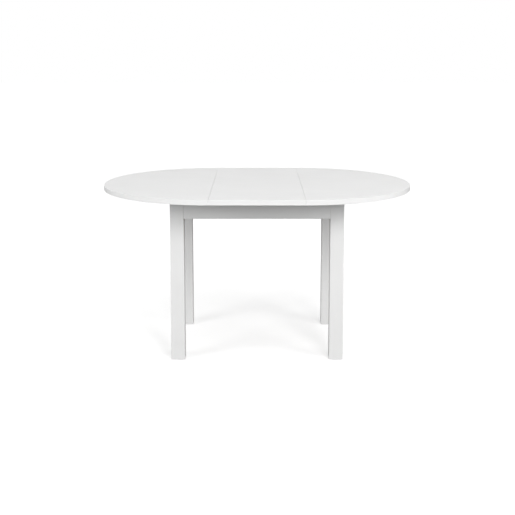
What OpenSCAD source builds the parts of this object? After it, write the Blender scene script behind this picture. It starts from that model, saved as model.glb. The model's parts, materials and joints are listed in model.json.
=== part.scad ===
// Round extending dining table, drawn open with its leaf in place.
// Millimetres, +Z up. The origin is on the floor, at the middle of the table.
// X is the direction in which the top opens. The front is -Y and the left is -X.

/* [Top] */
// Diameter of the round top when the leaf is out
top_diameter = 1000; // [940:10:1100]
// Length along X that the leaf adds
leaf_length = 400; // [340:10:400]
// Height of the top's upper face above the floor
table_height = 750; // [700:5:800]
// Thickness of the top boards
board_thickness = 22; // [20:1:28]
// Thickness of the edge band round the rim
rim_band = 2; // [1.5:0.5:3]
// Thickness of the edge band along each seam
seam_band = 1; // [0.8:0.2:2]
// Gap between the leaf and each half top
seam_gap = 0.8; // [0.4:0.1:1]
// Radius of the rim's upper and lower arris
rim_arris = 1; // [0.5:0.1:1.2]

/* [Leg frame] */
// Length of the leg frame along X, over the legs
frame_length = 755; // [755:5:800]
// Width of the leg frame along Y, over the legs
frame_width = 570; // [570:5:620]
// Side of the square legs
leg_side = 60; // [50:1:62]
// Radius on the legs' long edges
leg_arris = 1.5; // [1:0.5:4]
// Height of the aprons
apron_height = 95; // [85:5:130]
// Thickness of the aprons
apron_thickness = 20; // [18:1:24]
// Distance from a leg's outer face in to the apron's
apron_setback = 2; // [1:1:8]
// Diameter of the foot glides
glide_diameter = 36; // [25:1:45]
// Height of the foot glides
glide_height = 2.5; // [2:0.5:5]

/* [Slides] */
// Distance from the middle of the table to each runner
runner_offset = 200; // [160:5:200]
// Outer width of a runner channel
channel_width = 32; // [30:1:34]
// Height of a runner channel
channel_height = 24; // [22:1:26]
// Wall thickness of a runner channel
channel_wall = 2; // [1.5:0.5:2.5]
// Length of a slide bar
slide_bar_length = 345; // [300:5:345]
// Travel past the open position, which frees the leaf
over_travel = 25; // [15:1:30]

/* [Joinery] */
// Length of a corner block's wing, from the leg along the apron
block_reach = 70; // [60:1:75]
// Height of a corner block
block_height = 58; // [50:1:60]
// Width of a cross rail
cross_rail_width = 40; // [30:1:50]
// Height of a cross rail
cross_rail_height = 28; // [24:1:32]
// Distance from the middle of the table to each cross rail
cross_rail_offset = 150; // [120:5:170]

/* [Hidden] */
$fn = 48;
rim_facets = 240;

// Small clearances: round a fastener in its hole, and past a face that a cut runs through
fastener_clearance = 0.1;
cut = 1;
// Air between parts that slide past each other
slide_clearance = 0.3;
// Air between the leg frame and the top, which the felt pads fill
pad_space = 2;

// Heights
board_bottom = table_height - board_thickness;
frame_top = board_bottom - pad_space;
apron_bottom = frame_top - apron_height;
channel_bottom = frame_top - channel_height;
pad_top = board_bottom - slide_clearance;

// The top: the rim's centres are at x = half_leaf on each side
rim_radius = top_diameter / 2;
half_leaf = leaf_length / 2;
board_radius = rim_radius - rim_band;
half_edge = half_leaf + seam_gap / 2;
leaf_edge = half_leaf - seam_gap / 2;
seam_chamfer = 0.3;
// The seam bands stop this far inside the rim bands' inner faces
seam_band_end_gap = 0.1;

// The leg frame
leg_centre = [(frame_length - leg_side) / 2, (frame_width - leg_side) / 2];
leg_inner = [frame_length / 2 - leg_side, frame_width / 2 - leg_side];
apron_outer = [frame_length / 2 - apron_setback, frame_width / 2 - apron_setback];
apron_inner = [apron_outer[0] - apron_thickness, apron_outer[1] - apron_thickness];
apron_middle = [apron_outer[0] - apron_thickness / 2, apron_outer[1] - apron_thickness / 2];
apron_arris = 1;
leg_chamfer = 8;

// Foot glides: a round foot on a nail
glide_radius = glide_diameter / 2;
glide_edge = 1;
nail_radius = 2.5;
nail_length = 18;

// Dowels between aprons and legs
dowel_radius = 4;
dowel_half_length = 18;
dowel_heights = [apron_bottom + 22, frame_top - 34];

// Corner blocks, each with two hanger bolts into the leg and a screw into each apron
block_bottom = apron_bottom + 5;
block_middle = block_bottom + block_height / 2;
block_diagonal = apron_inner[0] + leg_inner[1] - block_reach;
block_tip = 6;
// Distance from the leg's corner flat back to the block's long diagonal face
block_depth = (leg_inner[0] + leg_inner[1] + leg_chamfer - block_diagonal) / sqrt(2);
bolt_radius = 4;
bolt_in_leg = 40;
bolt_tail = 14;
bolt_heights = [block_middle - 14, block_middle + 14];
bolt_hole_radius = 4.5;
washer_radius = 9;
washer_thickness = 1.6;
nut_flats = 13;
nut_height = 6.5;
block_screw_inset = 32;
block_screw_seat = 18;
block_screw_length = 32;
screw_radius = 2;
screw_head_radius = 4;
screw_head_height = 2.5;
head_clearance = 0.5;
screw_tip = 3;
recess_width = 1;
recess_depth = 1.2;
// Half the length of a cross recess's arm, as a share of the head's radius
recess_reach = 0.6;

// Angle brackets under the ends of the cross rails
rail_bottom = channel_bottom - cross_rail_height;
bracket_leaf = 30;
bracket_width = 20;
bracket_thickness = 2;
bracket_screw_at = 19;
bracket_screw_length = 16;

// Runner channels, and the bars that slide in them
channel_slot = 18;
channel_screw_length = 20;
runner_screw_xs = [-apron_middle[0], -cross_rail_offset, cross_rail_offset, apron_middle[0]];
slide_bar_width = channel_width - 2 * channel_wall - 2 * slide_clearance;
slide_bar_bottom = channel_bottom + channel_wall + slide_clearance;
slide_bar_shoulder = frame_top - channel_wall - slide_clearance;
slide_rib_width = channel_slot - 1;
slide_bar_start = half_edge + 10;
stop_radius = 2.5;
stop_at = apron_outer[0] - 31.5;
stop_height = 7;
groove_width = 6;
groove_depth = 6;
// A bar's groove clears the stop by a little at both ends of the travel
groove_start = stop_at - stop_radius - over_travel - slide_clearance;
groove_end = min(
    stop_at + stop_radius + half_leaf + slide_clearance,
    slide_bar_start + slide_bar_length - 6
);
bar_screw_insets = [30, 125, 215, slide_bar_length - 30];
bar_screw_radius = 2.25;
bar_screw_head_radius = 4.5;
bar_screw_seat = slide_bar_bottom + 8.7;
screw_in_board = 14;
bar_screw_length = board_bottom + screw_in_board - bar_screw_seat;

// Battens under the leaf, just inside the front and back aprons
batten_width = 18;
batten_height = 22;
batten_inset = 20;
batten_outer = apron_inner[1] - 3;
batten_middle = batten_outer - batten_width / 2;
batten_screw_seat = board_bottom - 16;
batten_screw_length = board_bottom + screw_in_board - batten_screw_seat;
batten_screw_xs = [-leaf_edge + 60, 0, leaf_edge - 60];

// Felt pads
pad_radius = 14;
apron_pad_length = 60;
apron_pad_width = 14;
apron_pad_at = 130;

white = [0.93, 0.93, 0.92];
band_white = [0.95, 0.95, 0.94];
lacquer_white = [0.88, 0.88, 0.87];
raw_beech = [0.83, 0.69, 0.50];
raw_pine = [0.87, 0.76, 0.56];
steel_grey = [0.62, 0.63, 0.65];
aluminium_grey = [0.76, 0.77, 0.79];
felt_grey = [0.55, 0.54, 0.52];
glide_white = [0.85, 0.85, 0.84];

// ---- Shared shapes ----

// Puts a child drawn in the +X +Y quarter into the quarter of the given signs
module in_quarter(side, depth) {
    mirror([side < 0 ? 1 : 0, 0, 0])
        mirror([0, depth < 0 ? 1 : 0, 0])
            children();
}

module rounded_rectangle(width, height, radius) {
    square([width - 2 * radius, height], center = true);
    square([width, height - 2 * radius], center = true);
    for (x = [-1, 1], y = [-1, 1])
        translate([x * (width / 2 - radius), y * (height / 2 - radius)])
            circle(r = radius);
}

// A straight board along X, centred on the origin, with rounded long edges
module board_along_x(length, depth, height, radius) {
    translate([-length / 2, 0, 0])
        rotate([90, 0, 90])
            linear_extrude(length)
                rounded_rectangle(depth, height, radius);
}

module cross_recess(head_radius) {
    for (turn = [0, 90])
        rotate([0, 0, turn])
            translate([-head_radius * recess_reach, -recess_width / 2, -recess_depth])
                cube([2 * head_radius * recess_reach, recess_width, recess_depth + cut]);
}

// A pan-head screw that points up, with the seat of its head at z = 0
module pan_screw(length, radius, head_radius) {
    difference() {
        union() {
            translate([0, 0, -screw_head_height])
                cylinder(h = screw_head_height, r = head_radius);
            cylinder(h = length - screw_tip, r = radius);
            translate([0, 0, length - screw_tip])
                cylinder(h = screw_tip, r1 = radius, r2 = radius / 4);
        }
        translate([0, 0, -screw_head_height])
            mirror([0, 0, 1])
                cross_recess(head_radius);
    }
}

// The hole that a screw or nail of this length and radius sits in, from z = 0 up
module screw_hole(length, radius) {
    translate([0, 0, -cut])
        cylinder(h = length + cut + fastener_clearance, r = radius + fastener_clearance);
}

// ---- Legs and feet ----

module leg(side, depth) {
    color(lacquer_white)
        in_quarter(side, depth)
            difference() {
                translate([leg_centre[0], leg_centre[1], glide_height])
                    linear_extrude(frame_top - glide_height)
                        rounded_rectangle(leg_side, leg_side, leg_arris);
                leg_corner_flat();
                translate([leg_centre[0], leg_centre[1], glide_height])
                    screw_hole(nail_length, nail_radius);
                quarter_dowels(fastener_clearance);
                quarter_bolts(fastener_clearance);
            }
}

// The flat on the leg's inner corner that the hanger bolts go in through
module leg_corner_flat() {
    translate([leg_inner[0], leg_inner[1], apron_bottom])
        linear_extrude(apron_height + cut)
            polygon([[-cut, -cut], [leg_chamfer + cut, -cut], [-cut, leg_chamfer + cut]]);
}

module foot_glide(side, depth) {
    color(glide_white)
        in_quarter(side, depth)
            translate([leg_centre[0], leg_centre[1], 0]) {
                cylinder(h = glide_edge, r1 = glide_radius - glide_edge, r2 = glide_radius);
                translate([0, 0, glide_edge])
                    cylinder(h = glide_height - glide_edge, r = glide_radius);
                cylinder(h = glide_height + nail_length, r = nail_radius);
            }
}

// ---- Aprons ----

// Both long aprons run along X between the legs
module long_apron(depth) {
    color(lacquer_white)
        in_quarter(1, depth)
            difference() {
                translate([0, apron_middle[1], apron_bottom + apron_height / 2])
                    board_along_x(2 * leg_inner[0], apron_thickness, apron_height, apron_arris);
                for (side = [-1, 1])
                    in_quarter(side, 1) {
                        quarter_dowels(fastener_clearance);
                        quarter_block_screws(true);
                        quarter_bracket_screws(true);
                    }
            }
}

// The end aprons run along Y, and the runner channels lie in notches in their upper edge
module end_apron(side) {
    color(lacquer_white)
        in_quarter(side, 1)
            difference() {
                translate([apron_middle[0], 0, apron_bottom + apron_height / 2])
                    rotate([0, 0, 90])
                        board_along_x(2 * leg_inner[1], apron_thickness, apron_height, apron_arris);
                for (depth = [-1, 1]) {
                    translate([apron_inner[0] - cut, depth * runner_offset - channel_width / 2, channel_bottom])
                        cube([apron_thickness + 2 * cut, channel_width, channel_height + cut]);
                    in_quarter(1, depth) {
                        quarter_dowels(fastener_clearance);
                        quarter_block_screws(true);
                    }
                    runner_screw_hole(apron_middle[0], depth);
                }
            }
}

// The four dowels at one leg: two into each apron
module quarter_dowels(clearance) {
    for (z = dowel_heights) {
        translate([leg_inner[0] - dowel_half_length - clearance, apron_middle[1], z])
            rotate([0, 90, 0])
                cylinder(h = 2 * (dowel_half_length + clearance), r = dowel_radius + clearance);
        translate([apron_middle[0], leg_inner[1] - dowel_half_length - clearance, z])
            rotate([-90, 0, 0])
                cylinder(h = 2 * (dowel_half_length + clearance), r = dowel_radius + clearance);
    }
}

module apron_dowels() {
    color(raw_beech)
        for (side = [-1, 1], depth = [-1, 1])
            in_quarter(side, depth)
                quarter_dowels(0);
}

// ---- Corner blocks and their hardware ----

module block_outline() {
    polygon([
        [leg_inner[0], apron_inner[1]],
        [leg_inner[0], leg_inner[1] + leg_chamfer],
        [leg_inner[0] + leg_chamfer, leg_inner[1]],
        [apron_inner[0], leg_inner[1]],
        [apron_inner[0], block_diagonal - apron_inner[0] + block_tip],
        [apron_inner[0] - block_tip, block_diagonal - apron_inner[0] + block_tip],
        [block_diagonal - apron_inner[1] + block_tip, apron_inner[1] - block_tip],
        [block_diagonal - apron_inner[1] + block_tip, apron_inner[1]]
    ]);
}

module corner_block(side, depth) {
    color(raw_beech)
        in_quarter(side, depth)
            difference() {
                translate([0, 0, block_bottom])
                    linear_extrude(block_height)
                        block_outline();
                for (z = bolt_heights)
                    on_bolt_axis(z)
                        translate([0, 0, -bolt_tail - block_depth - cut])
                            cylinder(h = bolt_tail + block_depth + bolt_in_leg, r = bolt_hole_radius);
                quarter_block_screws(true);
            }
}

// A child's +Z runs from the leg's inner corner flat into the leg, level and at 45 degrees
module on_bolt_axis(z) {
    translate([leg_inner[0] + leg_chamfer / 2, leg_inner[1] + leg_chamfer / 2, z])
        rotate([0, 0, 45])
            rotate([0, 90, 0])
                children();
}

module quarter_bolts(clearance) {
    for (z = bolt_heights)
        on_bolt_axis(z)
            translate([0, 0, -block_depth - bolt_tail])
                cylinder(h = block_depth + bolt_tail + bolt_in_leg + clearance, r = bolt_radius + clearance);
}

module hanger_bolts() {
    color(steel_grey)
        for (side = [-1, 1], depth = [-1, 1])
            in_quarter(side, depth)
                quarter_bolts(0);
}

module bolt_washers() {
    color(steel_grey)
        for (side = [-1, 1], depth = [-1, 1], z = bolt_heights)
            in_quarter(side, depth)
                on_bolt_axis(z)
                    translate([0, 0, -block_depth - washer_thickness])
                        difference() {
                            cylinder(h = washer_thickness, r = washer_radius);
                            translate([0, 0, -cut])
                                cylinder(h = washer_thickness + 2 * cut, r = bolt_hole_radius);
                        }
}

module bolt_nuts() {
    color(steel_grey)
        for (side = [-1, 1], depth = [-1, 1], z = bolt_heights)
            in_quarter(side, depth)
                on_bolt_axis(z)
                    translate([0, 0, -block_depth - washer_thickness - nut_height])
                        difference() {
                            cylinder(h = nut_height, r = nut_flats / sqrt(3), $fn = 6);
                            translate([0, 0, -cut])
                                cylinder(h = nut_height + 2 * cut, r = bolt_radius + fastener_clearance);
                        }
}

// One screw into each of the two aprons at a corner, or the holes for them
module quarter_block_screws(as_holes) {
    translate([leg_inner[0] - block_screw_inset, apron_inner[1] - block_screw_seat, block_middle])
        rotate([-90, 0, 0])
            block_screw(as_holes);
    translate([apron_inner[0] - block_screw_seat, leg_inner[1] - block_screw_inset, block_middle])
        rotate([0, 90, 0])
            block_screw(as_holes);
}

module block_screw(as_holes) {
    if (as_holes) {
        screw_hole(block_screw_length, screw_radius);
        translate([0, 0, -2 * block_screw_seat])
            cylinder(h = 2 * block_screw_seat, r = screw_head_radius + head_clearance);
    } else {
        pan_screw(block_screw_length, screw_radius, screw_head_radius);
    }
}

module block_screws() {
    color(steel_grey)
        for (side = [-1, 1], depth = [-1, 1])
            in_quarter(side, depth)
                quarter_block_screws(false);
}

// ---- Cross rails ----

module cross_rail(side) {
    color(raw_pine)
        in_quarter(side, 1)
            difference() {
                translate([cross_rail_offset, 0, channel_bottom - cross_rail_height / 2])
                    rotate([0, 0, 90])
                        board_along_x(2 * apron_inner[1], cross_rail_width, cross_rail_height, apron_arris);
                for (depth = [-1, 1]) {
                    runner_screw_hole(cross_rail_offset, depth);
                    in_quarter(1, depth)
                        quarter_bracket_screws(true);
                }
            }
}

// One angle bracket under each end of each cross rail
module rail_brackets() {
    color(steel_grey)
        for (side = [-1, 1], depth = [-1, 1])
            in_quarter(side, depth)
                difference() {
                    translate([cross_rail_offset - bracket_width / 2, apron_inner[1], rail_bottom])
                        bracket();
                    quarter_bracket_screws(true);
                }
}

module bracket() {
    translate([0, -bracket_leaf, -bracket_thickness])
        cube([bracket_width, bracket_leaf, bracket_thickness]);
    translate([0, -bracket_thickness, -bracket_leaf])
        cube([bracket_width, bracket_thickness, bracket_leaf]);
}

// The two screws of one bracket, or their holes: up into the rail, and level into the apron
module quarter_bracket_screws(as_holes) {
    translate([cross_rail_offset, apron_inner[1] - bracket_screw_at, rail_bottom - bracket_thickness])
        bracket_screw(as_holes);
    translate([cross_rail_offset, apron_inner[1] - bracket_thickness, rail_bottom - bracket_screw_at])
        rotate([-90, 0, 0])
            bracket_screw(as_holes);
}

module bracket_screw(as_holes) {
    if (as_holes)
        screw_hole(bracket_screw_length, screw_radius);
    else
        pan_screw(bracket_screw_length, screw_radius, screw_head_radius);
}

module bracket_screws() {
    color(steel_grey)
        for (side = [-1, 1], depth = [-1, 1])
            in_quarter(side, depth)
                quarter_bracket_screws(false);
}

// ---- Runner channels ----

module channel_profile() {
    difference() {
        translate([-channel_width / 2, 0])
            square([channel_width, channel_height]);
        translate([-channel_width / 2 + channel_wall, channel_wall])
            square([channel_width - 2 * channel_wall, channel_height - 2 * channel_wall]);
        translate([-channel_slot / 2, channel_wall])
            square([channel_slot, channel_height]);
    }
}

module runner_channel(depth) {
    color(aluminium_grey)
        difference() {
            translate([-apron_outer[0], depth * runner_offset, channel_bottom])
                rotate([90, 0, 90])
                    linear_extrude(2 * apron_outer[0])
                        channel_profile();
            for (x = runner_screw_xs)
                translate([x, depth * runner_offset, channel_bottom + channel_wall])
                    mirror([0, 0, 1])
                        countersunk_screw_hole();
            for (side = [-1, 1])
                translate([side * stop_at, depth * runner_offset, channel_bottom - cut])
                    cylinder(h = channel_wall + 2 * cut, r = stop_radius + fastener_clearance);
        }
}

// The screw's flat head fills the channel's floor, so the slide bar passes over it
module countersunk_screw() {
    difference() {
        union() {
            cylinder(h = channel_wall, r1 = screw_head_radius, r2 = screw_radius);
            translate([0, 0, channel_wall])
                cylinder(h = channel_screw_length - channel_wall - screw_tip, r = screw_radius);
            translate([0, 0, channel_screw_length - screw_tip])
                cylinder(h = screw_tip, r1 = screw_radius, r2 = screw_radius / 4);
        }
        mirror([0, 0, 1])
            cross_recess(screw_head_radius * 0.8);
    }
}

module countersunk_screw_hole() {
    cylinder(
        h = channel_wall,
        r1 = screw_head_radius + fastener_clearance,
        r2 = screw_radius + fastener_clearance
    );
    translate([0, 0, -cut])
        cylinder(h = channel_screw_length + cut + fastener_clearance, r = screw_radius + fastener_clearance);
}

// The hole below a channel for a runner screw, in the wood that the channel lies on
module runner_screw_hole(x, depth) {
    translate([x, depth * runner_offset, channel_bottom + channel_wall])
        mirror([0, 0, 1])
            screw_hole(channel_screw_length, screw_radius);
}

module runner_screws() {
    color(steel_grey)
        for (x = runner_screw_xs, depth = [-1, 1])
            translate([x, depth * runner_offset, channel_bottom + channel_wall])
                mirror([0, 0, 1])
                    countersunk_screw();
}

// Each stop stands up from a channel's floor into the groove under a slide bar
module travel_stops() {
    color(steel_grey)
        for (side = [-1, 1], depth = [-1, 1])
            translate([side * stop_at, depth * runner_offset, channel_bottom]) {
                cylinder(h = stop_height, r = stop_radius);
                translate([0, 0, -screw_head_height])
                    cylinder(h = screw_head_height, r = screw_head_radius + 1);
            }
}

// ---- Felt pads ----

module leg_top_pads() {
    color(felt_grey)
        for (side = [-1, 1], depth = [-1, 1])
            in_quarter(side, depth)
                translate([leg_centre[0], leg_centre[1], frame_top])
                    cylinder(h = pad_top - frame_top, r = pad_radius);
}

module apron_pads() {
    color(felt_grey)
        for (side = [-1, 1], depth = [-1, 1])
            in_quarter(side, depth)
                translate([
                    apron_pad_at - apron_pad_length / 2,
                    apron_middle[1] - apron_pad_width / 2,
                    frame_top
                ])
                    cube([apron_pad_length, apron_pad_width, pad_top - frame_top]);
}

// ---- Half tops ----

// Everything of a half top is drawn on the right and mirrored for the left
module top_half(side) {
    color(white)
        in_quarter(side, 1)
            difference() {
                intersection() {
                    translate([half_leaf, 0, board_bottom])
                        cylinder(h = board_thickness, r = board_radius, $fn = rim_facets);
                    translate([half_edge + seam_band, -rim_radius, board_bottom - cut])
                        cube([rim_radius, 2 * rim_radius, board_thickness + 2 * cut]);
                }
                for (depth = [-1, 1])
                    bar_screw_places(depth)
                        screw_hole(bar_screw_length, bar_screw_radius);
            }
}

module rim_band_half(side) {
    color(band_white)
        in_quarter(side, 1)
            intersection() {
                translate([half_leaf, 0, board_bottom])
                    rotate_extrude($fn = rim_facets)
                        translate([board_radius, 0])
                            band_profile();
                translate([half_edge, -2 * rim_radius, board_bottom - cut])
                    cube([2 * rim_radius, 4 * rim_radius, board_thickness + 2 * cut]);
            }
}

// The band's cross-section: its flat inner face is at x = 0, and its outer arrises are round
module band_profile() {
    square([rim_band - rim_arris, board_thickness]);
    translate([0, rim_arris])
        square([rim_band, board_thickness - 2 * rim_arris]);
    for (y = [rim_arris, board_thickness - rim_arris])
        translate([rim_band - rim_arris, y])
            circle(r = rim_arris);
}

// A thin band along a seam, between the two rim bands, with its free face towards -X
module seam_band_strip() {
    half_length = board_radius - seam_band_end_gap;
    translate([0, half_length, board_bottom])
        rotate([90, 0, 0])
            linear_extrude(2 * half_length)
                polygon([
                    [0, 0], [seam_band, 0], [seam_band, board_thickness],
                    [seam_chamfer, board_thickness], [0, board_thickness - seam_chamfer]
                ]);
}

module seam_band_half(side) {
    color(band_white)
        in_quarter(side, 1)
            translate([half_edge, 0, 0])
                seam_band_strip();
}

// The seat of each screw that holds a slide bar up to the half top
module bar_screw_places(depth) {
    for (inset = bar_screw_insets)
        translate([slide_bar_start + inset, depth * runner_offset, bar_screw_seat])
            children();
}

module slide_bar(side, depth) {
    color(raw_beech)
        in_quarter(side, 1)
            difference() {
                union() {
                    translate([
                        slide_bar_start,
                        depth * runner_offset - slide_bar_width / 2,
                        slide_bar_bottom
                    ])
                        cube([slide_bar_length, slide_bar_width, slide_bar_shoulder - slide_bar_bottom]);
                    translate([
                        slide_bar_start,
                        depth * runner_offset - slide_rib_width / 2,
                        slide_bar_bottom
                    ])
                        cube([slide_bar_length, slide_rib_width, board_bottom - slide_bar_bottom]);
                }
                translate([groove_start, depth * runner_offset - groove_width / 2, slide_bar_bottom - cut])
                    cube([groove_end - groove_start, groove_width, groove_depth + cut]);
                bar_screw_places(depth) {
                    screw_hole(bar_screw_length, bar_screw_radius);
                    mirror([0, 0, 1])
                        cylinder(h = board_thickness, r = bar_screw_head_radius + head_clearance);
                }
            }
}

module bar_screws(side) {
    color(steel_grey)
        in_quarter(side, 1)
            for (depth = [-1, 1])
                bar_screw_places(depth)
                    pan_screw(bar_screw_length, bar_screw_radius, bar_screw_head_radius);
}

// ---- Leaf ----

module leaf_board() {
    color(white)
        difference() {
            translate([-leaf_edge + seam_band, -board_radius, board_bottom])
                cube([2 * (leaf_edge - seam_band), 2 * board_radius, board_thickness]);
            for (depth = [-1, 1])
                batten_screw_places(depth)
                    screw_hole(batten_screw_length, screw_radius);
        }
}

module leaf_band(depth) {
    color(band_white)
        in_quarter(1, depth)
            translate([leaf_edge, board_radius, board_bottom])
                rotate([0, -90, 0])
                    linear_extrude(2 * leaf_edge)
                        mirror([1, -1])
                            band_profile();
}

module leaf_seam_band(side) {
    color(band_white)
        in_quarter(side, 1)
            translate([leaf_edge, 0, 0])
                mirror([1, 0, 0])
                    seam_band_strip();
}

module batten_screw_places(depth) {
    for (x = batten_screw_xs)
        translate([x, depth * batten_middle, batten_screw_seat])
            children();
}

module leaf_batten(depth) {
    color(raw_pine)
        difference() {
            translate([0, depth * batten_middle, board_bottom - batten_height / 2])
                board_along_x(2 * (leaf_edge - batten_inset), batten_width, batten_height, apron_arris);
            batten_screw_places(depth) {
                screw_hole(batten_screw_length, screw_radius);
                mirror([0, 0, 1])
                    cylinder(h = batten_height, r = screw_head_radius + head_clearance);
            }
        }
}

module batten_screws() {
    color(steel_grey)
        for (depth = [-1, 1])
            batten_screw_places(depth)
                pan_screw(batten_screw_length, screw_radius, screw_head_radius);
}

// ---- Assembly ----

leg(-1, -1);  // leg_front_left
leg(1, -1);  // leg_front_right
leg(-1, 1);  // leg_back_left
leg(1, 1);  // leg_back_right
foot_glide(-1, -1);  // foot_glide_front_left
foot_glide(1, -1);  // foot_glide_front_right
foot_glide(-1, 1);  // foot_glide_back_left
foot_glide(1, 1);  // foot_glide_back_right
long_apron(-1);  // apron_front
long_apron(1);  // apron_back
end_apron(-1);  // apron_left
end_apron(1);  // apron_right
corner_block(-1, -1);  // corner_block_front_left
corner_block(1, -1);  // corner_block_front_right
corner_block(-1, 1);  // corner_block_back_left
corner_block(1, 1);  // corner_block_back_right
apron_dowels();
hanger_bolts();
bolt_washers();
bolt_nuts();
block_screws();
cross_rail(-1);  // cross_rail_left
cross_rail(1);  // cross_rail_right
rail_brackets();
bracket_screws();
runner_channel(-1);  // runner_channel_front
runner_channel(1);  // runner_channel_back
runner_screws();
travel_stops();
leg_top_pads();
apron_pads();
top_half(-1);  // top_half_left
rim_band_half(-1);  // rim_band_left
seam_band_half(-1);  // seam_band_left
slide_bar(-1, -1);  // slide_bar_left_front
slide_bar(-1, 1);  // slide_bar_left_back
bar_screws(-1);  // bar_screws_left
top_half(1);  // top_half_right
rim_band_half(1);  // rim_band_right
seam_band_half(1);  // seam_band_right
slide_bar(1, -1);  // slide_bar_right_front
slide_bar(1, 1);  // slide_bar_right_back
bar_screws(1);  // bar_screws_right
leaf_board();
leaf_band(-1);  // leaf_band_front
leaf_band(1);  // leaf_band_back
leaf_seam_band(-1);  // leaf_seam_band_left
leaf_seam_band(1);  // leaf_seam_band_right
leaf_batten(-1);  // leaf_batten_front
leaf_batten(1);  // leaf_batten_back
batten_screws();
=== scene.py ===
"""Looks of the round extending dining table.

Everything is in metres, in the CAD frame: +X is the direction in which the top opens,
the front is -Y, +Z is up, and the origin is on the floor at the middle of the table.
"""

import json
import math

import bmesh
import bpy
from mathutils import Matrix, Vector, noise

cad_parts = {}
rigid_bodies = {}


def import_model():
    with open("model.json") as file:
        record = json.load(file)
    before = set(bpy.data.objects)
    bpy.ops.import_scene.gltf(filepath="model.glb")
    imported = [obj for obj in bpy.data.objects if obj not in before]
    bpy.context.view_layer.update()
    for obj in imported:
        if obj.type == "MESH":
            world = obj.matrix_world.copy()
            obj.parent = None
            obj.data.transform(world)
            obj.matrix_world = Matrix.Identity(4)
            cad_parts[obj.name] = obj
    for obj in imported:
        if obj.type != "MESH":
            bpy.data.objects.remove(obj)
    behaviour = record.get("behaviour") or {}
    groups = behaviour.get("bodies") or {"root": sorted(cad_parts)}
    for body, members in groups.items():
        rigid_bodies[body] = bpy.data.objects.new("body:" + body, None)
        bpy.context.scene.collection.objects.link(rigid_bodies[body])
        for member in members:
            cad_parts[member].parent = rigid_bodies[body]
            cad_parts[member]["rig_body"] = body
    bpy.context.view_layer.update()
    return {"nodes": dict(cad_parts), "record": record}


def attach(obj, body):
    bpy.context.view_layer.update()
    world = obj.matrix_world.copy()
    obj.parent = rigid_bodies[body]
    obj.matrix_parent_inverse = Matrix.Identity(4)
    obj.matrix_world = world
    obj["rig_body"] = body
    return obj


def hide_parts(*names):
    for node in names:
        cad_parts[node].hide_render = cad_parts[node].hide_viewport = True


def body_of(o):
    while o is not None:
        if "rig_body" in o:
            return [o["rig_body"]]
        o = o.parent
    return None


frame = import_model()

# Each CAD node's material slot, as the record has it
SLOTS = {part["node"]: part["material_slot"] for part in frame["record"]["subparts"]}
X, Y, Z = 0, 1, 2


def add_object(name, data):
    thing = bpy.data.objects.new(name, data)
    bpy.context.scene.collection.objects.link(thing)
    return thing


# ---------------------------------------------------------------- camera

CAMERA_PLACE = (0.002, -4.136, 1.371)
CAMERA_TILT = math.radians(7.45)
CAMERA_LENS_MM = 63.3
CAMERA_SENSOR_MM = 36
CAMERA_SHIFT = -0.18


def make_camera():
    camera = add_object("camera", bpy.data.cameras.new("camera"))
    camera.location = CAMERA_PLACE
    # An unturned camera looks straight down, and a quarter turn makes it level
    camera.rotation_euler = (math.pi / 2 - CAMERA_TILT, 0, 0)
    camera.data.lens = CAMERA_LENS_MM
    camera.data.sensor_width = CAMERA_SENSOR_MM
    camera.data.shift_y = CAMERA_SHIFT
    bpy.context.scene.camera = camera


# ---------------------------------------------------------------- shader tools

# The mix node's sockets for colours share their names with those for numbers
MIX_SHARE, MIX_FIRST, MIX_SECOND, MIX_RESULT = 0, 6, 7, 2
# Most of a noise texture's values lie in this range
NOISE_RANGE = (0.3, 0.7)
# A narrower one gives clouds clearer edges
CLOUD_RANGE = (0.35, 0.65)
FULL_RANGE = (0, 1)
WHITE = (1, 1, 1)


def shade(colour, factor):
    return tuple(c * factor for c in colour)


def along(axis, fine, coarse):
    """Texture scales that stretch a pattern along one axis."""
    return tuple(coarse if k == axis else fine for k in (X, Y, Z))


class Nodes:
    """A node tree, with short calls for adding nodes and joining them."""

    def __init__(self, tree):
        self.tree = tree

    def add(self, kind, inputs=None, **settings):
        node = self.tree.nodes.new(kind)
        for name, value in settings.items():
            setattr(node, name, value)
        for name, value in (inputs or {}).items():
            self.set(node.inputs[name], value)
        return node

    def set(self, socket, value):
        """Gives a socket a number or a colour, or joins another node's output to it."""
        if isinstance(value, bpy.types.NodeSocket):
            self.tree.links.new(value, socket)
        elif socket.type == "RGBA":
            socket.default_value = (*value, 1)
        else:
            socket.default_value = value

    def mix(self, share, first, second):
        inputs = {MIX_SHARE: share, MIX_FIRST: first, MIX_SECOND: second}
        return self.add("ShaderNodeMix", inputs, data_type="RGBA").outputs[MIX_RESULT]

    def ramp(self, value, taken, given):
        """A value that runs over the range `taken` becomes one that runs over `given`."""
        inputs = {
            "Value": value,
            "From Min": taken[0],
            "From Max": taken[1],
            "To Min": given[0],
            "To Max": given[1],
        }
        return self.add("ShaderNodeMapRange", inputs).outputs["Result"]


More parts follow.
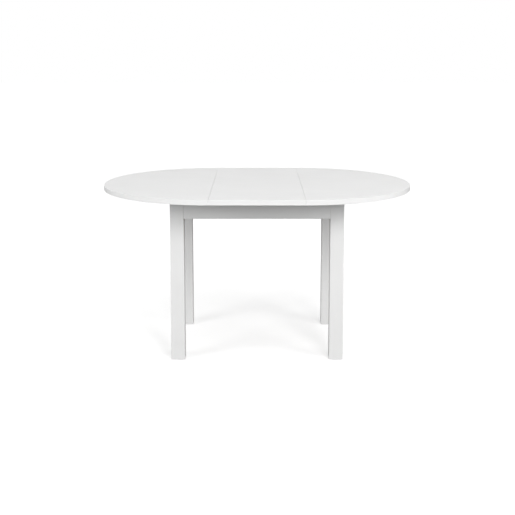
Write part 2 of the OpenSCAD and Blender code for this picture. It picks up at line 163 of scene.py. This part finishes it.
class Shader(Nodes):
    """A material's nodes, with the patterns that the materials share."""

    def __init__(self, name):
        self.material = bpy.data.materials.new(name)
        self.material.use_nodes = True
        super().__init__(self.material.node_tree)
        self.surface = self.tree.nodes["Principled BSDF"]
        self.place = self.add("ShaderNodeTexCoord").outputs["Object"]

    def stretched(self, scale):
        """The place on the object, in metres, times scale on each axis."""
        inputs = {"Vector": self.place, "Scale": scale}
        return self.add("ShaderNodeMapping", inputs).outputs["Vector"]

    def noise(self, place, scale=1.0, detail=2.0, roughness=0.5, distortion=0.0):
        inputs = {
            "Vector": place,
            "Scale": scale,
            "Detail": detail,
            "Roughness": roughness,
            "Distortion": distortion,
        }
        return self.add("ShaderNodeTexNoise", inputs).outputs["Fac"]

    def two_tone(self, pattern, dark, light, pattern_range=NOISE_RANGE):
        return self.mix(self.ramp(pattern, pattern_range, FULL_RANGE), dark, light)

    def clouded(self, colour, darker, scale, detail):
        """A plain colour with faint clouds, which are darker by a factor."""
        clouds = self.noise(self.place, scale, detail)
        return self.two_tone(clouds, shade(colour, darker), colour, CLOUD_RANGE)

    def bump(self, height, distance, strength, under=None):
        inputs = {"Height": height, "Distance": distance, "Strength": strength}
        if under is not None:
            inputs["Normal"] = under
        return self.add("ShaderNodeBump", inputs).outputs["Normal"]

    def finish(self, colour, roughness, **others):
        """Sets the surface's sockets. An underscore stands for a space in a socket's name."""
        self.set(self.surface.inputs["Base Color"], colour)
        self.set(self.surface.inputs["Roughness"], roughness)
        for name, value in others.items():
            self.set(self.surface.inputs[name.replace("_", " ")], value)
        return self.material


# ---------------------------------------------------------------- materials

BOARD_WHITE = (0.86, 0.86, 0.855)
BAND_WHITE = (0.88, 0.88, 0.875)
LACQUER_WHITE = (0.84, 0.84, 0.835)
BEECH_DARK = (0.56, 0.36, 0.20)
BEECH_LIGHT = (0.70, 0.49, 0.30)
BEECH_FLECK = (0.36, 0.20, 0.10)
PINE_DARK_RING = (0.55, 0.33, 0.15)
PINE_WOOD = (0.75, 0.55, 0.33)
PINE_PALE = (0.80, 0.63, 0.42)
ALUMINIUM_DARK = (0.66, 0.67, 0.68)
ALUMINIUM_LIGHT = (0.74, 0.75, 0.76)
ZINC_DARK = (0.60, 0.61, 0.63)
ZINC_LIGHT = (0.74, 0.75, 0.77)
FELT_DARK = (0.15, 0.148, 0.14)
FELT_LIGHT = (0.36, 0.355, 0.34)
FELT_TUFT = (0.44, 0.43, 0.41)
GLIDE_DARK = (0.66, 0.66, 0.65)
GLIDE_LIGHT = (0.74, 0.74, 0.73)
FLOOR_DARK = (0.90, 0.90, 0.90)
FLOOR_LIGHT = (0.92, 0.92, 0.92)


def melamine():
    """White melamine-faced board: a fine pearl, with faint clouding and wipe marks."""
    s = Shader("white_melamine")
    colour = s.clouded(BOARD_WHITE, darker=0.985, scale=5, detail=4)
    wiped = s.noise(s.stretched((3, 14, 3)), scale=3, detail=5, roughness=0.6)
    pearl = s.bump(s.noise(s.place, scale=1400), distance=0.00003, strength=0.35)
    waves = s.noise(s.place, scale=60, detail=3)
    normal = s.bump(waves, distance=0.00008, strength=0.25, under=pearl)
    roughness = s.ramp(wiped, NOISE_RANGE, (0.34, 0.44))
    return s.finish(colour, roughness, Normal=normal, Coat_Weight=0.08, Coat_Roughness=0.3)


def edge_band():
    """White ABS edge band: scraper lines along the edge, and a little glossier than the board."""
    s = Shader("white_edge_band")
    colour = s.clouded(BAND_WHITE, darker=0.985, scale=9, detail=3)
    lines = s.noise(s.stretched((6, 6, 900)), detail=3)
    normal = s.bump(lines, distance=0.00003, strength=0.3)
    return s.finish(colour, s.ramp(lines, NOISE_RANGE, (0.3, 0.38)), Normal=normal)


def lacquer(axis):
    """White lacquer on wood: the grain shows through as faint ridges along the piece."""
    s = Shader(f"white_lacquer_{'xyz'[axis]}")
    colour = s.clouded(LACQUER_WHITE, darker=0.98, scale=8, detail=3)
    grain = s.noise(s.stretched(along(axis, fine=320, coarse=9)), detail=4, roughness=0.6)
    spray = s.bump(s.noise(s.place, scale=500), distance=0.00004, strength=0.3)
    normal = s.bump(grain, distance=0.00006, strength=0.35, under=spray)
    return s.finish(colour, s.ramp(grain, NOISE_RANGE, (0.33, 0.42)), Normal=normal)


def beech(axis):
    """Bare planed beech: straight grain with short dark flecks along it."""
    s = Shader(f"bare_beech_{'xyz'[axis]}")
    bands = s.noise(s.stretched(along(axis, fine=60, coarse=2.5)), detail=5, roughness=0.65)
    colour = s.two_tone(bands, BEECH_DARK, BEECH_LIGHT)
    flecks = s.noise(s.stretched(along(axis, fine=1500, coarse=120)), detail=1)
    colour = s.mix(s.ramp(flecks, (0.62, 0.72), (0, 0.5)), colour, BEECH_FLECK)
    pores = s.noise(s.stretched(along(axis, fine=2200, coarse=90)))
    normal = s.bump(pores, distance=0.0001, strength=0.4)
    return s.finish(colour, s.ramp(bands, NOISE_RANGE, (0.55, 0.68)), Normal=normal)


def pine(axis):
    """Bare planed pine: wide pale rings with narrow darker ones along the piece."""
    s = Shader(f"bare_pine_{'xyz'[axis]}")
    rings = s.add(
        "ShaderNodeTexWave",
        {
            "Vector": s.stretched(along(axis, fine=130, coarse=1.6)),
            "Scale": 1.0,
            "Distortion": 5.0,
            "Detail": 2.0,
        },
        wave_type="BANDS",
        bands_direction="DIAGONAL",
        wave_profile="SAW",
    ).outputs["Fac"]
    colour = s.mix(s.ramp(rings, (0.45, 1.0), (0, 0.9)), PINE_WOOD, PINE_DARK_RING)
    drift = s.noise(s.stretched(along(axis, fine=22, coarse=1.5)), detail=3)
    colour = s.mix(s.ramp(drift, (0.35, 0.7), (0, 0.5)), colour, PINE_PALE)
    fibres = s.noise(s.stretched(along(axis, fine=1800, coarse=50)))
    normal = s.bump(fibres, distance=0.0001, strength=0.4)
    return s.finish(colour, s.ramp(rings, FULL_RANGE, (0.6, 0.5)), Normal=normal)


def aluminium():
    """Natural anodised extrusion, with drawing lines along X."""
    s = Shader("anodised_aluminium")
    lines = s.noise(s.stretched(along(X, fine=2600, coarse=5)), detail=3)
    colour = s.two_tone(lines, ALUMINIUM_DARK, ALUMINIUM_LIGHT)
    normal = s.bump(lines, distance=0.00004, strength=0.4)
    roughness = s.ramp(lines, NOISE_RANGE, (0.32, 0.45))
    return s.finish(colour, roughness, Normal=normal, Metallic=1.0)


def zinc_steel():
    """Bright zinc plate: small crystals, with a slight cool cast."""
    s = Shader("zinc_plated_steel")
    crystals = s.add("ShaderNodeTexVoronoi", {"Vector": s.place, "Scale": 700.0})
    colour = s.two_tone(crystals.outputs["Distance"], ZINC_DARK, ZINC_LIGHT, (0, 0.7))
    scuffs = s.noise(s.place, scale=260, detail=4)
    normal = s.bump(scuffs, distance=0.00005, strength=0.4)
    roughness = s.ramp(scuffs, NOISE_RANGE, (0.26, 0.42))
    return s.finish(colour, roughness, Normal=normal, Metallic=1.0)


def felt():
    """Pressed grey felt: tangled fibres in lighter and darker grey."""
    s = Shader("grey_felt")
    fibres = s.noise(s.place, scale=1900, detail=5, roughness=0.7, distortion=2.5)
    colour = s.two_tone(fibres, FELT_DARK, FELT_LIGHT)
    tufts = s.noise(s.place, scale=260, detail=3)
    colour = s.mix(s.ramp(tufts, (0.4, 0.7), (0, 0.3)), colour, FELT_TUFT)
    normal = s.bump(fibres, distance=0.0004, strength=0.7)
    return s.finish(colour, 0.95, Normal=normal, Sheen_Weight=0.5, Sheen_Roughness=0.5)


def glide_plastic():
    """Moulded polyethylene, a little waxy, with faint flow marks."""
    s = Shader("glide_plastic")
    flow = s.noise(s.stretched((90, 90, 300)), detail=3, distortion=1.5)
    colour = s.two_tone(flow, GLIDE_DARK, GLIDE_LIGHT)
    normal = s.bump(s.noise(s.place, scale=900), distance=0.00004, strength=0.3)
    return s.finish(colour, s.ramp(flow, NOISE_RANGE, (0.38, 0.5)), Normal=normal)


# ---------------------------------------------------------------- which node has which material

PLAIN = {
    "white_board": melamine,
    "edge_band": edge_band,
    "aluminium_channel": aluminium,
    "steel_hardware": zinc_steel,
    "felt": felt,
    "glide_plastic": glide_plastic,
}
GRAINED = {"lacquered_frame": lacquer, "beech": beech, "pine": pine}
# Starts of the names of the pieces that run from front to back
RUNS_ALONG_Y = ("apron_left", "apron_right", "corner_block", "cross_rail")


def grain_axis(node):
    if node.startswith("leg_"):
        return Z
    return Y if node.startswith(RUNS_ALONG_Y) else X


def make_materials():
    """Each CAD node's material. A slot with grain has one for each way in which the grain runs."""
    made, by_node = {}, {}
    for node, slot in SLOTS.items():
        axis = grain_axis(node) if slot in GRAINED else None
        if (slot, axis) not in made:
            made[slot, axis] = GRAINED[slot](axis) if slot in GRAINED else PLAIN[slot]()
        by_node[node] = made[slot, axis]
    return by_node


def dress_cad_nodes(materials):
    for name, node in frame["nodes"].items():
        for place in node.material_slots:
            place.material = materials[name]


# ---------------------------------------------------------------- tools for the finer pieces

ALONG_X, ALONG_Y, ALONG_Z = Vector((1, 0, 0)), Vector((0, 1, 0)), Vector((0, 0, 1))
# The ways in which the fasteners lie
AXES = (
    ALONG_X,
    ALONG_Y,
    ALONG_Z,
    Vector((1, 1, 0)).normalized(),
    Vector((1, -1, 0)).normalized(),
)
# Corners of a CAD mesh that are nearer than this are one corner
MERGE_DISTANCE = 1e-6
# Edges sharper than this are shaded as edges
SHARP_ANGLE = math.radians(32)
# The share of a fastener's length, at each end, in which its head is looked for
END_SHARE = 0.1


def solids(node):
    """The corner points of each separate solid of a CAD node."""
    whole = bmesh.new()
    whole.from_mesh(frame["nodes"][node].data)
    bmesh.ops.remove_doubles(whole, verts=whole.verts, dist=MERGE_DISTANCE)
    whole.verts.index_update()
    seen, found = set(), []
    for first in whole.verts:
        if first.index in seen:
            continue
        seen.add(first.index)
        group = [first]
        # The group grows as it is walked, until no neighbour is left
        for corner in group:
            for edge in corner.link_edges:
                other = edge.other_vert(corner)
                if other.index not in seen:
                    seen.add(other.index)
                    group.append(other)
        found.append([corner.co.copy() for corner in group])
    whole.free()
    return found


def span(points, axis):
    reach = [point.dot(axis) for point in points]
    return min(reach), max(reach)


def extent(points, axis):
    low, high = span(points, axis)
    return high - low


class Seat:
    """Where one fastener lies, how long it is, and the radii of its head and its shaft.

    At its own z = 0 is the outer end of its head, and its +Z runs to its tip.
    """

    def __init__(self, points, axis):
        across = axis.orthogonal().normalized()
        sides = (across, axis.cross(across))
        middle = sum((side * sum(span(points, side)) / 2 for side in sides), Vector())
        low, high = span(points, axis)
        self.length = high - low
        end = self.length * END_SHARE
        spots = [(p.dot(axis), (p - middle - axis * p.dot(axis)).length) for p in points]
        near = max(radius for height, radius in spots if height < low + end)
        far = max(radius for height, radius in spots if height > high - end)
        if far > near:
            axis, low = -axis, -high
            spots = [(-height, radius) for height, radius in spots]
        half_way = low + self.length / 2
        self.radius = max(near, far)
        self.shaft = max(radius for height, radius in spots if height > half_way)
        turn = axis.to_track_quat("Z", "Y").to_matrix().to_4x4()
        self.matrix = Matrix.Translation(middle + axis * low) @ turn


def long_seat(points):
    """The seat of a fastener that is longer than it is wide."""
    return Seat(points, max(AXES, key=lambda axis: extent(points, axis)))


def short_seat(points):
    """The seat of a nut or a washer, which is wider than it is long."""
    return Seat(points, min(AXES, key=lambda axis: extent(points, axis)))


def skin(shape, rows, closed=False):
    """Adds rows of corners, and the faces between them. An end row may be a single point.

    With closed, the last row is joined to the first as well.
    """
    made = [[shape.verts.new(place) for place in row] for row in rows]
    pairs = list(zip(made, made[1:]))
    if closed:
        pairs.append((made[-1], made[0]))
    for lower, upper in pairs:
        count = max(len(lower), len(upper))
        for k in range(count):
            after = (k + 1) % count
            if len(lower) == 1:
                shape.faces.new((lower[0], upper[after], upper[k]))
            elif len(upper) == 1:
                shape.faces.new((lower[k], lower[after], upper[0]))
            else:
                shape.faces.new((lower[k], lower[after], upper[after], upper[k]))
    return made


def heading(angle):
    return Vector((math.cos(angle), math.sin(angle)))


def quarter_arc(centre, radius, quarter, steps):
    """Points along a quarter of a circle. Quarter 0 starts at +X, quarter 1 at +Y."""
    turns = [quarter + step / steps for step in range(steps + 1)]
    return [centre + radius * heading(math.pi / 2 * turn) for turn in turns]


def turned(shape, seat, rings, segments, closed=False):
    """Adds a turned solid in its seat.

    A ring is a radius and a height at each angle, or one such pair for a point in the middle.
    """
    rows = []
    for ring in rings:
        row = []
        for k, (radius, height) in enumerate(ring):
            angle = math.tau * k / segments
            place = Vector((radius * math.cos(angle), radius * math.sin(angle), height))
            row.append(seat.matrix @ place)
        rows.append(row)
    skin(shape, rows, closed)


def plain_ring(radius, height, segments):
    return [(radius, height)] * segments


# ---------------------------------------------------------------- screws and bolts

# How deep a thread is, how far it climbs in a turn, and how narrow its ridge is
SCREW_THREAD = {"depth": 0.0005, "pitch": 0.0018, "sharpness": 2.2}
MACHINE_THREAD = {"depth": 0.00065, "pitch": 0.00125, "sharpness": 1.0}
COARSE_THREAD = {"depth": 0.001, "pitch": 0.003, "sharpness": 2.2}
RINGS_PER_TURN = 6
# The radius at a tapered thread's end, as a share of its full radius
TIP_SHARE = 0.2

SCREW_SEGMENTS = 20
SCREW_TIP_LENGTH = 0.003
THREADED_SHARE = 0.72
HEAD_RINGS = 14
PAN_HEAD_HEIGHT = 0.0025
PAN_HEAD_CROWN = 0.0008
FLAT_HEAD_HEIGHT = 0.002
RECESS_DEPTH = 0.0012
RECESS_HALF_WIDTH = 0.00045
RECESS_REACH = 0.62
RECESS_SLOPE = 0.0003

BOLT_SEGMENTS = 24
BOLT_CHAMFER = 0.001
# Where the smooth part between a hanger bolt's two threads starts and ends
BOLT_SMOOTH = (0.52, 0.62)

NUT_SEGMENTS = 72
# The heights of a nut's rings, as shares of its own
NUT_LEVELS = (0, 0.08, 0.2, 0.35, 0.65, 0.8, 0.92, 1)
NUT_SIDE = math.tau / 6
NUT_HOLE = 0.0041
NUT_HOLE_CHAMFER = 0.0004
# The radius of a nut's face, as a share of that of its flats, and how fast its chamfer widens
NUT_FACE_SHARE = 0.97
NUT_CHAMFER_SLOPE = 1.9

WASHER_SEGMENTS = 48
WASHER_HOLE = 0.0045
WASHER_EDGE = 0.0003
WASHER_EDGE_STEPS = 3


def thread_rings(start, end, crest, segments, depth, pitch, sharpness, taper=0.0):
    """Rings along a right-hand thread.

    Its depth grows over the first turn, and it narrows to its tip over the length `taper`.
    """
    count = max(2, round((end - start) / pitch * RINGS_PER_TURN))
    rings = []
    for step in range(count + 1):
        height = start + (end - start) * step / count
        depth_here = depth * min(1, (height - start) / pitch)
        narrow = 1
        if taper:
            narrow = min(1, (end - height) / taper * (1 - TIP_SHARE) + TIP_SHARE)
        ring = []
        for k in range(segments):
            phase = (height / pitch - k / segments) % 1
            ridge = abs(2 * phase - 1) ** sharpness
            ring.append(((crest - depth_here * (1 - ridge)) * narrow, height))
        rings.append(ring)
    return rings


def recess(radius, angle, head_radius):
    """How deep the cross recess is at a point of a screw's head."""
    x, y = abs(radius * math.cos(angle)), abs(radius * math.sin(angle))
    beside = (RECESS_HALF_WIDTH - min(x, y)) / RECESS_SLOPE + 1
    within = (RECESS_REACH * head_radius - max(x, y)) / RECESS_SLOPE + 1
    return RECESS_DEPTH * max(0, min(1, beside, within))


def screw(shape, points, is_flat=False):
    """A wood screw with a cross recess: a pan head, or a flat one that fills a countersink."""
    seat = long_seat(points)
    head_height = FLAT_HEAD_HEIGHT if is_flat else PAN_HEAD_HEIGHT
    crown = 0 if is_flat else PAN_HEAD_CROWN
    rings = [[(0, RECESS_DEPTH)]]
    for step in range(1, HEAD_RINGS + 1):
        share = step / HEAD_RINGS
        radius = seat.radius * share
        drop = crown * (1 - math.sqrt(1 - share**2))
        ring = []
        for k in range(SCREW_SEGMENTS):
            depth = recess(radius, math.tau * k / SCREW_SEGMENTS, seat.radius)
            ring.append((radius, drop + depth))
        rings.append(ring)
    if not is_flat:
        rings.append(plain_ring(seat.radius, head_height, SCREW_SEGMENTS))
    rings.append(plain_ring(seat.shaft, head_height, SCREW_SEGMENTS))
    rings += thread_rings(
        start=head_height + (seat.length - head_height) * (1 - THREADED_SHARE),
        end=seat.length,
        crest=seat.shaft,
        segments=SCREW_SEGMENTS,
        taper=SCREW_TIP_LENGTH,
        **SCREW_THREAD,
    )
    rings.append([(0, seat.length)])
    turned(shape, seat, rings, SCREW_SEGMENTS)


def flat_screw(shape, points):
    screw(shape, points, is_flat=True)


def hanger_bolt(shape, points):
    """A machine thread for the nut at the outer end, and a coarse wood thread in the leg."""
    seat = long_seat(points)
    crest = seat.radius
    smooth_start, smooth_end = (share * seat.length for share in BOLT_SMOOTH)
    rings = [[(0, 0)], plain_ring(crest - BOLT_CHAMFER, 0, BOLT_SEGMENTS)]
    rings += thread_rings(
        start=BOLT_CHAMFER,
        end=smooth_start,
        crest=crest,
        segments=BOLT_SEGMENTS,
        **MACHINE_THREAD,
    )
    rings.append(plain_ring(crest, smooth_start + BOLT_CHAMFER, BOLT_SEGMENTS))
    rings += thread_rings(
        start=smooth_end,
        end=seat.length,
        crest=crest,
        segments=BOLT_SEGMENTS,
        taper=crest,
        **COARSE_THREAD,
    )
    rings.append([(0, seat.length)])
    turned(shape, seat, rings, BOLT_SEGMENTS)


def nut(shape, points):
    """A hexagon nut whose corners are chamfered on both faces."""
    seat = short_seat(points)
    flats = seat.radius * math.cos(NUT_SIDE / 2)
    rings = []
    for share in NUT_LEVELS:
        height = seat.length * share
        from_face = min(height, seat.length - height)
        chamfer = flats * NUT_FACE_SHARE + NUT_CHAMFER_SLOPE * from_face
        ring = []
        for k in range(NUT_SEGMENTS):
            # Counted from the middle of the nearest flat
            angle = (math.tau * k / NUT_SEGMENTS + NUT_SIDE / 2) % NUT_SIDE - NUT_SIDE / 2
            ring.append((min(flats / math.cos(angle), chamfer), height))
        rings.append(ring)
    mouth = NUT_HOLE + NUT_HOLE_CHAMFER
    hole = (
        (mouth, seat.length),
        (NUT_HOLE, seat.length - NUT_HOLE_CHAMFER),
        (NUT_HOLE, NUT_HOLE_CHAMFER),
        (mouth, 0),
    )
    rings += [plain_ring(radius, height, NUT_SEGMENTS) for radius, height in hole]
    turned(shape, seat, rings, NUT_SEGMENTS, closed=True)


def washer(shape, points):
    """A stamped washer with rounded edges."""
    seat = short_seat(points)
    outer, inner = seat.radius - WASHER_EDGE, WASHER_HOLE + WASHER_EDGE
    low, high = WASHER_EDGE, seat.length - WASHER_EDGE
    # Its cut runs round from the lower outer edge, which is the quarter before +X
    edges = ((outer, low), (outer, high), (inner, high), (inner, low))
    outline = []
    for quarter, centre in enumerate(edges, start=-1):
        outline += quarter_arc(Vector(centre), WASHER_EDGE, quarter, WASHER_EDGE_STEPS)
    rings = [plain_ring(radius, height, WASHER_SEGMENTS) for radius, height in outline]
    turned(shape, seat, rings, WASHER_SEGMENTS, closed=True)


# ---------------------------------------------------------------- felt pads

# How far in from the side the lower face ends, and how high up the side starts
PAD_FOOT = 0.0002
# The radius of the soft upper edge
PAD_EDGE = 0.0006
PAD_EDGE_STEPS = 4
PAD_RAGGED = 0.00025
PAD_RAGGED_SCALE = 900
PAD_DENTS = 0.00012
PAD_DENT_SCALE = 500
# Where the dents' layer lies in the noise, apart from that of the ragged sides
PAD_DENT_LAYER = 7
PAD_RINGS = 8
PAD_SEGMENTS = 72
PAD_SIDE_STEPS = 10
PAD_CORNER = 0.0012
PAD_CORNER_STEPS = 4
ROUND_IF_REACH_UNDER = 1.1


def uneven(place):
    """A smoothly changing value from 0 to 1 that depends on the place alone."""
    return 0.5 + 0.5 * noise.noise(place)


def pad_outline(points, middle):
    """The outline of a pad about its middle: a circle, or a rectangle with round corners."""
    width, depth = extent(points, ALONG_X) / 2, extent(points, ALONG_Y) / 2
    reach = max((point.to_2d() - middle).length for point in points)
    if reach < ROUND_IF_REACH_UNDER * min(width, depth):
        return [width * heading(math.tau * k / PAD_SEGMENTS) for k in range(PAD_SEGMENTS)]
    arcs = []
    for quarter, (x, y) in enumerate(((1, 1), (-1, 1), (-1, -1), (1, -1))):
        centre = Vector((x * (width - PAD_CORNER), y * (depth - PAD_CORNER)))
        arcs.append(quarter_arc(centre, PAD_CORNER, quarter, PAD_CORNER_STEPS))
    shares = [step / PAD_SIDE_STEPS for step in range(1, PAD_SIDE_STEPS)]
    outline = []
    for arc, following in zip(arcs, arcs[1:] + arcs[:1]):
        outline += arc + [arc[-1].lerp(following[0], share) for share in shares]
    return outline


def felt_pad(shape, points):
    """A cut piece of pressed felt: flat below, soft at its upper edge, ragged and dented."""
    middle = Vector(sum(span(points, axis)) / 2 for axis in (ALONG_X, ALONG_Y))
    low, high = span(points, ALONG_Z)
    outline = pad_outline(points, middle)
    # How far in from the outline each row up the side lies, and how high
    levels = [(PAD_FOOT, low), (0, low + PAD_FOOT)]
    for step in range(PAD_EDGE_STEPS + 1):
        rise = heading(math.pi / 2 * step / PAD_EDGE_STEPS)
        levels.append((PAD_EDGE * (1 - rise.x), high - PAD_EDGE * (1 - rise.y)))
    rows = []
    for inset, height in levels:
        row = []
        for point in outline:
            place = (*(middle + point) * PAD_RAGGED_SCALE, height * PAD_RAGGED_SCALE)
            inwards = point.normalized() * (inset + PAD_RAGGED * uneven(place))
            row.append(Vector((*(middle + point - inwards), height)))
        rows.append(row)
    upper_edge = rows[-1]
    for ring in range(1, PAD_RINGS):
        row = []
        for corner in upper_edge:
            x, y = middle.lerp(corner.to_2d(), 1 - ring / PAD_RINGS)
            dent = PAD_DENTS * uneven((x * PAD_DENT_SCALE, y * PAD_DENT_SCALE, PAD_DENT_LAYER))
            row.append(Vector((x, y, high - dent)))
        rows.append(row)
    made = skin(shape, rows)
    shape.faces.new(made[0][::-1])
    shape.faces.new(made[-1])


# ---------------------------------------------------------------- finer pieces in place of nodes

DETAILS = {
    "block_screws": screw,
    "bracket_screws": screw,
    "bar_screws_left": screw,
    "bar_screws_right": screw,
    "batten_screws": screw,
    "runner_screws": flat_screw,
    "hanger_bolts": hanger_bolt,
    "bolt_nuts": nut,
    "bolt_washers": washer,
    "leg_top_pads": felt_pad,
    "apron_pads": felt_pad,
}


def detail(node, make, material):
    """Stands in for a CAD node with one mesh that holds a finer shape for each of its solids."""
    shape = bmesh.new()
    for points in solids(node):
        make(shape, points)
    bmesh.ops.recalc_face_normals(shape, faces=shape.faces)
    mesh = bpy.data.meshes.new(f"{node}_detailed")
    shape.to_mesh(mesh)
    shape.free()
    mesh.polygons.foreach_set("use_smooth", [True] * len(mesh.polygons))
    mesh.set_sharp_from_angle(angle=SHARP_ANGLE)
    mesh.materials.append(material)
    piece = add_object(mesh.name, mesh)
    original = frame["nodes"][node]
    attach(piece, body_of(original)[0])
    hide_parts(node)


def add_details(materials):
    for node, make in DETAILS.items():
        detail(node, make, materials[node])


# ---------------------------------------------------------------- floor and light

FLOOR_SIZE = 60
FLOOR_ROUGHNESS = 0.9
# Painted light: the floor glows a little, least near the table, which paints a soft shade under
# it, and more so away from the table, which paints out the lamps' shadows where it meets the white
# background
GLOW_DISTANCES = (0.3, 1.6)
GLOW_STRENGTHS = (0.31, 0.6)
# How bright the studio is at each height, from straight down (-1) to straight up (1)
STUDIO = ((-0.05, 0.16), (0.05, 1.5), (0.3, 1.5), (0.6, 0.26))
# Each lamp's name, place, width and power in watts
LAMPS = (
    ("key", (1.3, -4.0, 3.3), 1.2, 61),
    ("fill_left", (-3.6, -2.6, 1.9), 2.0, 58),
    ("fill_right", (3.6, -2.6, 1.9), 2.0, 54.5),
)
LAMP_AIM = Vector((0, 0, 0.45))


def floor_material():
    """Matt white paper that runs into the background, with a painted glow that is dimmer near the
    table.
    """
    s = Shader("studio_floor")
    colour = s.two_tone(s.noise(s.place, scale=0.8), FLOOR_DARK, FLOOR_LIGHT)
    distance = s.add("ShaderNodeVectorMath", {0: s.place}, operation="LENGTH").outputs["Value"]
    # The glow is painted light: weaker near the table for a painted shade under it, stronger
    # further out so that the lamps' shadows fade into white
    return s.finish(
        colour,
        FLOOR_ROUGHNESS,
        Specular_IOR_Level=0.0,
        Emission_Color=WHITE,
        Emission_Strength=s.ramp(distance, GLOW_DISTANCES, GLOW_STRENGTHS),
    )


def make_floor():
    mesh = bpy.data.meshes.new("floor")
    half = FLOOR_SIZE / 2
    corners = [(-half, -half, 0), (half, -half, 0), (half, half, 0), (-half, half, 0)]
    mesh.from_pydata(corners, [], [(0, 1, 2, 3)])
    floor = add_object("floor", mesh)
    material = floor_material()
    mesh.materials.append(material)
    # The studio's dim lower half stands in for the floor's bounce, so the floor lights nothing
    material.cycles.emission_sampling = "NONE"
    floor.visible_diffuse = False
    floor.visible_glossy = False
    floor.visible_shadow = False


def make_world():
    """A studio that is brightest near the horizon and dim below it, and white to the camera."""
    world = bpy.data.worlds.new("studio")
    bpy.context.scene.world = world
    world.use_nodes = True
    s = Nodes(world.node_tree)
    direction = s.add("ShaderNodeTexCoord").outputs["Generated"]
    height = s.add("ShaderNodeSeparateXYZ", {0: direction}).outputs["Z"]
    studio = s.add("ShaderNodeValToRGB", {0: s.ramp(height, (-1, 1), FULL_RANGE)})
    stops = studio.color_ramp.elements
    while len(stops) < len(STUDIO):
        stops.new(1)
    for stop, (z, brightness) in zip(stops, STUDIO):
        stop.position = (z + 1) / 2
        stop.color = (*shade(WHITE, brightness), 1)
    seen = s.add("ShaderNodeLightPath").outputs["Is Camera Ray"]
    colour = s.mix(seen, studio.outputs["Color"], WHITE)
    s.set(s.tree.nodes["Background"].inputs["Color"], colour)


def make_lamps():
    for name, place, width, power in LAMPS:
        lamp = add_object(name, bpy.data.lights.new(name, "AREA"))
        lamp.data.shape = "SQUARE"
        lamp.data.size = width
        lamp.data.energy = power
        lamp.location = place
        lamp.rotation_euler = (LAMP_AIM - Vector(place)).to_track_quat("-Z", "Y").to_euler()
        # Unmirrored in the top, so that it stays distinct from the white background
        lamp.visible_glossy = False


def set_view():
    view = bpy.context.scene.view_settings
    view.view_transform = "Standard"
    view.look = "None"


make_camera()
materials = make_materials()
dress_cad_nodes(materials)
add_details(materials)
make_floor()
make_world()
make_lamps()
set_view()
